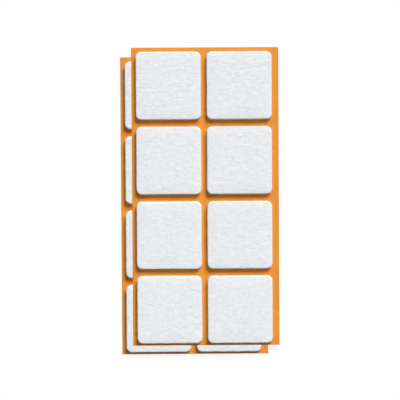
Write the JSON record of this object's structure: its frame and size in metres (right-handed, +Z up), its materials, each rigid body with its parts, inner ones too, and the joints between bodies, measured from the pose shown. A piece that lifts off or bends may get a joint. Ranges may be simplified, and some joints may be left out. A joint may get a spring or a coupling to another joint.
{
  "type": "self-adhesive felt furniture pads",
  "caption": "Stacked sheets of orange release paper with rows of white die-cut felt pads, each backed with adhesive, that peel off and stick under furniture legs so they slide.",
  "frame": {"origin": "middle of the two stacked sheets, on the surface that they lie on", "axes": "+X across the sheets to the picture's right, +Y along them to the picture's top, +Z up"},
  "size_m": [0.0848, 0.1652, 0.0066],
  "materials": {
    "felt": "matte",
    "liner": "satin",
    "adhesive": "satin"
  },
  "bodies": {
    "rear_sheet": {"rear_liner": "liner", "rear_adhesive_1": "adhesive", "rear_adhesive_2": "adhesive", "rear_adhesive_3": "adhesive", "rear_adhesive_4": "adhesive", "rear_adhesive_5": "adhesive", "rear_adhesive_6": "adhesive", "rear_adhesive_7": "adhesive", "rear_adhesive_8": "adhesive", "rear_felt_1": "felt", "rear_felt_2": "felt", "rear_felt_3": "felt", "rear_felt_4": "felt", "rear_felt_5": "felt", "rear_felt_6": "felt", "rear_felt_7": "felt", "rear_felt_8": "felt"},
    "front_sheet": {"front_liner": "liner"},
    "front_pad_1": {"front_adhesive_1": "adhesive", "front_felt_1": "felt"},
    "front_pad_2": {"front_adhesive_2": "adhesive", "front_felt_2": "felt"},
    "front_pad_3": {"front_adhesive_3": "adhesive", "front_felt_3": "felt"},
    "front_pad_4": {"front_adhesive_4": "adhesive", "front_felt_4": "felt"},
    "front_pad_5": {"front_adhesive_5": "adhesive", "front_felt_5": "felt"},
    "front_pad_6": {"front_adhesive_6": "adhesive", "front_felt_6": "felt"},
    "front_pad_7": {"front_adhesive_7": "adhesive", "front_felt_7": "felt"},
    "front_pad_8": {"front_adhesive_8": "adhesive", "front_felt_8": "felt"}
  },
  "joints": [
    {"name": "front_sheet_lift", "type": "slide", "parent": "rear_sheet", "child": "front_sheet", "axis": [0, 0, 1], "range_m": [0, 0.04]},
    {"name": "front_pad_1_lift", "type": "slide", "parent": "front_sheet", "child": "front_pad_1", "axis": [0, 0, 1], "range_m": [0, 0.03]},
    {"name": "front_pad_2_lift", "type": "slide", "parent": "front_sheet", "child": "front_pad_2", "axis": [0, 0, 1], "range_m": [0, 0.03]},
    {"name": "front_pad_3_lift", "type": "slide", "parent": "front_sheet", "child": "front_pad_3", "axis": [0, 0, 1], "range_m": [0, 0.03]},
    {"name": "front_pad_4_lift", "type": "slide", "parent": "front_sheet", "child": "front_pad_4", "axis": [0, 0, 1], "range_m": [0, 0.03]},
    {"name": "front_pad_5_lift", "type": "slide", "parent": "front_sheet", "child": "front_pad_5", "axis": [0, 0, 1], "range_m": [0, 0.03]},
    {"name": "front_pad_6_lift", "type": "slide", "parent": "front_sheet", "child": "front_pad_6", "axis": [0, 0, 1], "range_m": [0, 0.03]},
    {"name": "front_pad_7_lift", "type": "slide", "parent": "front_sheet", "child": "front_pad_7", "axis": [0, 0, 1], "range_m": [0, 0.03]},
    {"name": "front_pad_8_lift", "type": "slide", "parent": "front_sheet", "child": "front_pad_8", "axis": [0, 0, 1], "range_m": [0, 0.03]}
  ]
}
